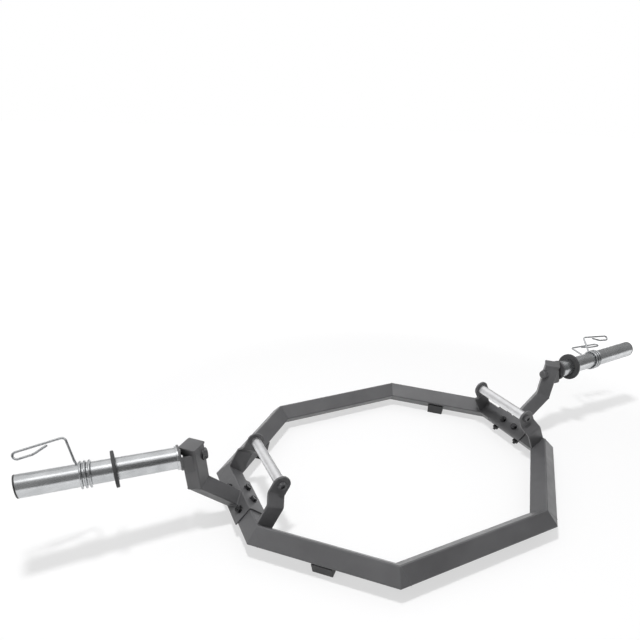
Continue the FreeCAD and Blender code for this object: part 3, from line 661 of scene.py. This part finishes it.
sleeve_up = np.array([-math.sin(sleeve_rise), 0.0, math.cos(sleeve_rise)])
sleeve_axes = np.stack([sleeve_way, backward, sleeve_up])
for side, place, angle, opening in (("right", 173.5, 89.0, -37.5), ("left", 211.0, -115.0, 76.0)):
    wire = sleeve_foot + wire_shell(*collar_path(place, angle, opening), wire_radius) @ sleeve_axes
    make_piece(side + "_spring_collar", on_side(side, [skin(wire)]), wire_metal, side + "_collar",
               (side + "_collar",), sharp=60.0)


# Handle brackets: 46 by 6 mm flat bar, joggled outwards below the handle and rounded over at the top.
# Each stands on the inner face of a short side tube, welded all round.
handle_axis = np.array([388.0, 0.0, 158.0])
bar_half_width, bar_half_thick, bar_edge, bar_sink = 23.0, 3.0, 0.6, 9.0
bar_foot_out, bar_top_out, bar_top_steps = 124.0, 101.0, 22
joggle_low, joggle_high, joggle_radius = -49.0, -28.6, 10.0
face_middle = side_axis + inward_up * half_tube
bar_length = np.linalg.norm(handle_axis - face_middle)
bar_way = unit(handle_axis - face_middle)
bar_across = np.cross(backward, bar_way)


def joggled_line(points, radius, steps=8):
    """A line of straight runs with each corner rounded: the arc leaves and meets the runs at radius times the
    tangent of half the turn, and its points are blended by a circle about the corner's inner centre."""
    rows = [points[:1]]
    for before, corner, after in zip(points[:-2], points[1:-1], points[2:]):
        first, second = unit(corner - before), unit(after - corner)
        turn = math.acos(np.clip(np.dot(first, second), -1, 1))
        square = (second - first * np.dot(first, second)) / math.sin(turn)
        arc_start = corner - first * radius * math.tan(turn / 2)
        rows.append(bend(arc_start, first, square, radius, math.degrees(turn), steps))
    rows.append(points[-1:])
    return np.concatenate(rows)


def bracket_shell(end_side):
    """A flat bar along a joggled line (along the bar, out from the handle). Its width is full below the
    handle's axis and follows a half circle above it, and each section is a rectangle with broken edges."""
    line = joggled_line(np.array([[-bar_length - bar_sink, bar_foot_out], [joggle_low, bar_foot_out],
                                  [joggle_high, bar_top_out], [0.0, bar_top_out]]), joggle_radius)
    top = bar_half_width * np.sin(np.linspace(0, np.pi / 2, bar_top_steps))[1:]
    line = np.concatenate([line, np.column_stack([top, np.full(len(top), bar_top_out)])])
    way = unit(np.gradient(line, axis=0))
    out = np.column_stack([-way[:, 1], way[:, 0]])
    round_half = np.sqrt(np.clip(bar_half_width ** 2 - line[:, 0] ** 2, bar_edge ** 2, None))
    half = np.where(line[:, 0] > 0, round_half, bar_half_width)
    side_share = np.array([1.0, 1.0, -1.0, -1.0, -1.0, -1.0, 1.0, 1.0])
    inset = bar_edge * np.array([0.0, -1.0, 1.0, 0.0, 0.0, 1.0, -1.0, 0.0])
    flank = bar_half_thick - bar_edge
    upper_lift = np.array([flank, bar_half_thick, bar_half_thick, flank])
    lift = np.concatenate([upper_lift, -upper_lift])
    wide = half[:, None] * side_share + inset
    along = line[:, :1] + out[:, :1] * lift
    away = line[:, 1:] + out[:, 1:] * lift
    return skin(handle_axis + along[..., None] * bar_way + end_side * away[..., None] * backward
                + wide[..., None] * bar_across)


for end_side, right_name, left_name in ((-1, "front", "back"), (1, "back", "front")):
    shell = bracket_shell(end_side)
    for side, end_name in (("right", right_name), ("left", left_name)):
        make_piece(side + "_" + end_name + "_bracket_bar", on_side(side, [shell]), coat, "frame",
                   (side + "_" + end_name + "_bracket",), sharp=28.0)


# Handles: 27 mm plated steel tube with a fine knurl over the grip, between the brackets.
# A threaded plug is pressed into each end, and a coated bolt through the bracket holds it.
grip_radius, grip_half_length, grip_end_radius = 13.5, 98.0, 12.9
grip_edge_start, grip_body_half = 97.2, 96.0
knurl_half_length, knurl_fade, knurl_teeth, knurl_pitch, knurl_depth = 84.0, 3.0, 44, 1.8, 0.22
grip_rows, grip_sides = 340, 220
grip_bolt_seat, grip_bolt_width, grip_socket_width = 104.0, 19.0, 10.0
grip_bolt_corner = grip_bolt_width * hexagon_corner_share
grip_bolt_levels = [0.0, 0.0, 5.8, 6.9, 7.6, 8.0]
grip_bolt_radii = [8.6, grip_bolt_corner, grip_bolt_corner, 10.2, 9.5, 8.7]
grip_socket_levels, grip_socket_radii = [8.0, 7.4, 4.0], [6.4, grip_socket_width, grip_socket_width]
grip = surface_finish("bright_knurled_plating", (0.74, 0.74, 0.75), (0.88, 0.88, 0.89),
                      cloud=(45.0, 4.0, 0.6), roughness=(0.34, 0.46), bumps=(1500.0, 2.0), depth=0.0001,
                      strength=0.3, metallic=1.0)


def knurled_grid():
    """A tube along the handle's axis: a plain radius at the ends, and between them a diamond knurl, which is
    the product of two waves that climb round the tube in opposite ways, faded in over a few millimetres."""
    along = np.concatenate([[-grip_half_length, -grip_edge_start],
                            np.linspace(-grip_body_half, grip_body_half, grip_rows),
                            [grip_edge_start, grip_half_length]])
    turn = np.arange(grip_sides) * 2 * np.pi / grip_sides
    fade = np.clip((knurl_half_length - np.abs(along)) / knurl_fade, 0, 1)[:, None]
    climb = along[:, None] * np.pi / knurl_pitch
    first = np.abs(np.sin(knurl_teeth / 2 * turn[None, :] + climb))
    second = np.abs(np.sin(knurl_teeth / 2 * turn[None, :] - climb))
    reach = grip_radius - knurl_depth * fade * (1 - first * second)
    reach[[0, -1]] = grip_end_radius
    circle = np.cos(turn)[:, None] * rightward + np.sin(turn)[:, None] * upright
    return handle_axis + along[:, None, None] * backward + reach[:, :, None] * circle[None]


def socket_bolt(out):
    """A hexagon head with a turned chamfer, and a hexagon socket sunk into its face."""
    seat = handle_axis + out * grip_bolt_seat
    head = turned_grid(grip_bolt_levels, grip_bolt_radii, seat, out, upright, across=grip_bolt_width)
    socket = turned_grid(grip_socket_levels, grip_socket_radii, seat, out, upright, across=grip_socket_width)
    return skin(np.concatenate([head, socket]))


handle_shell = skin(knurled_grid())
handle_heads = [socket_bolt(-backward), socket_bolt(backward)]
for side in ("right", "left"):
    make_piece(side + "_handle_grip", on_side(side, [handle_shell]), grip, "frame",
               (side + "_handle_tube", side + "_handle_plugs"), sharp=60.0)
    make_piece(side + "_handle_bolt_heads", on_side(side, handle_heads), coat, "frame",
               (side + "_handle_bolts",), sharp=30.0)


# Studio: a pale floor that shows bright and a soft lamp overhead, as the photograph's shadows show, with soft
# panels at both sides. A tall ring of wall and an overhead panel are seen only in reflections.
floor_half, floor_tone, floor_roughness = 60.0, (0.385, 0.385, 0.387, 1.0), 0.9
near_glow, far_glow, near_reach, far_reach = 0.58, 1.0, 0.9, 2.4
wall_radius, wall_foot, wall_height, wall_slope, wall_sides = 5.0, 0.1, 5.3, 2.7, 97
wall_tones = [(0.0, 0.70), (0.12, 0.35), (0.24, 0.12), (0.40, 0.20),
              (0.52, 0.35), (0.62, 0.38), (0.75, 0.52), (1.0, 0.70)]
softbox_left, softbox_right, softbox_front, softbox_back, softbox_height = -2.6, 2.0, -0.9, 0.1, 3.4
softbox_glow = 2.4
key_place, key_power, key_size = (-0.5, -0.24, 1.95), 26.0, 0.10
panel_turn, panel_power, panel_spread = 62.0, 0.66, 100
front_sky, back_sky = 0.20, 0.36
white = (1.0, 1.0, 1.0, 1.0)
black = (0.0, 0.0, 0.0, 1.0)


def larger(tree, first, second):
    """The larger of two node values."""
    node = tree.nodes.new("ShaderNodeMath")
    node.operation = "MAXIMUM"
    tree.links.new(first, node.inputs[0])
    tree.links.new(second, node.inputs[1])
    return node.outputs["Value"]


def showing_rays(tree):
    """1 for rays from the camera, in reflections and through glass, and 0 for those that light the object."""
    rays = tree.nodes.new("ShaderNodeLightPath").outputs
    seen = larger(tree, rays["Is Camera Ray"], rays["Is Glossy Ray"])
    return larger(tree, seen, rays["Is Transmission Ray"])


def stage_mesh(name, points, faces, paint):
    """A surface of the studio, which isn't part of the object."""
    mesh = bpy.data.meshes.new(name)
    mesh.from_pydata(points, [], faces)
    mesh.materials.append(paint)
    made = bpy.data.objects.new(name, mesh)
    bpy.context.scene.collection.objects.link(made)
    return made


def reflector(name, points, faces, paint):
    """A surface that is seen only in reflections."""
    made = stage_mesh(name, points, faces, paint)
    made.visible_camera = False
    made.visible_diffuse = False
    made.visible_shadow = False
    made.visible_transmission = False


def stage_paint(name, tone):
    """A matt paint without gloss, with its node tree, shader and object coordinates."""
    paint, tree, shader, where = new_material(name)
    shader.inputs["Base Color"].default_value = tone
    shader.inputs["Specular IOR Level"].default_value = 0.0
    shader.inputs["Emission Color"].default_value = white
    return paint, tree, shader, where


def add_lamp(name, data):
    """A lamp that reflections don't show."""
    lamp = bpy.data.objects.new(name, data)
    bpy.context.scene.collection.objects.link(lamp)
    lamp.visible_glossy = False
    return lamp


floor_paint, floor_tree, floor_shader, floor_where = stage_paint("pale_floor", floor_tone)
floor_shader.inputs["Roughness"].default_value = floor_roughness
floor_reach = floor_tree.nodes.new("ShaderNodeVectorMath")
floor_reach.operation = "LENGTH"
floor_tree.links.new(floor_where, floor_reach.inputs[0])
floor_glow = spread(floor_tree, floor_reach.outputs["Value"], near_reach, far_reach, near_glow, far_glow,
                    "SMOOTHSTEP")
floor_shown = floor_tree.nodes.new("ShaderNodeMath")
floor_shown.operation = "MULTIPLY"
floor_tree.links.new(showing_rays(floor_tree), floor_shown.inputs[0])
floor_tree.links.new(floor_glow, floor_shown.inputs[1])
floor_tree.links.new(floor_shown.outputs["Value"], floor_shader.inputs["Emission Strength"])
floor_points = [(-floor_half, -floor_half, 0.0), (floor_half, -floor_half, 0.0),
                (floor_half, floor_half, 0.0), (-floor_half, floor_half, 0.0)]
stage_mesh("studio_floor", floor_points, [(0, 1, 2, 3)], floor_paint)

wall_paint, wall_tree, wall_shader, wall_where = stage_paint("panelled_wall", black)
wall_shader.inputs["Emission Strength"].default_value = 1.0
wall_round = wall_tree.nodes.new("ShaderNodeTexGradient")
wall_round.gradient_type = "RADIAL"
wall_tree.links.new(wall_where, wall_round.inputs["Vector"])
wall_stops = [(place, (tone, tone, tone)) for place, tone in wall_tones]
wall_light = ramp(wall_tree, wall_round.outputs["Fac"], wall_stops)
wall_tree.links.new(wall_light, wall_shader.inputs["Emission Color"])
wall_turn = np.linspace(0, 2 * np.pi, wall_sides)
wall_ring = wall_radius * np.stack([np.cos(wall_turn), np.sin(wall_turn)], 1)
wall_grid = np.stack([np.column_stack([wall_ring, np.full(wall_sides, wall_foot)]),
                      np.column_stack([wall_ring, wall_height - wall_slope * np.sin(wall_turn)])])
wall_points, wall_faces = skin(wall_grid, ring=False, ends=False)
reflector("studio_wall", wall_points.tolist(), wall_faces, wall_paint)

glow_paint, glow_shader = stage_paint("softbox_face", black)[::2]
glow_shader.inputs["Emission Strength"].default_value = softbox_glow
glow_points = [(softbox_left, softbox_front, softbox_height), (softbox_right, softbox_front, softbox_height),
               (softbox_right, softbox_back, softbox_height), (softbox_left, softbox_back, softbox_height)]
reflector("studio_softbox", glow_points, [(0, 1, 2, 3)], glow_paint)

key_data = bpy.data.lights.new("overhead_softbox", "POINT")
key_data.energy = key_power
key_data.shadow_soft_size = key_size
key_data.use_nodes = True
key_glow = key_data.node_tree.nodes["Emission"]
key_fall = key_data.node_tree.nodes.new("ShaderNodeLightFalloff")
key_fall.inputs["Strength"].default_value = 1.0
key_data.node_tree.links.new(key_fall.outputs["Constant"], key_glow.inputs["Strength"])
add_lamp("overhead_softbox", key_data).location = key_place
for name, turn in (("left_panel", -panel_turn), ("right_panel", panel_turn)):
    panel_data = bpy.data.lights.new(name, "SUN")
    panel_data.energy = panel_power
    panel_data.angle = math.radians(panel_spread)
    add_lamp(name, panel_data).rotation_euler = (0.0, math.radians(turn), 0.0)

world = bpy.data.worlds.new("white_studio")
bpy.context.scene.world = world
world.use_nodes = True
world_tree = world.node_tree
surround = world_tree.nodes["Background"]
surround.inputs["Color"].default_value = white
sky_place = world_tree.nodes.new("ShaderNodeTexCoord")
sky_parts = world_tree.nodes.new("ShaderNodeSeparateXYZ")
world_tree.links.new(sky_place.outputs["Generated"], sky_parts.inputs["Vector"])
sky = spread(world_tree, sky_parts.outputs["Y"], -1.0, 1.0, front_sky, back_sky)
level = world_tree.nodes.new("ShaderNodeMapRange")
level.inputs["To Max"].default_value = 1.0
world_tree.links.new(sky, level.inputs["To Min"])
world_tree.links.new(showing_rays(world_tree), level.inputs["Value"])
world_tree.links.new(level.outputs["Result"], surround.inputs["Strength"])
bpy.context.scene.view_settings.view_transform = "Standard"
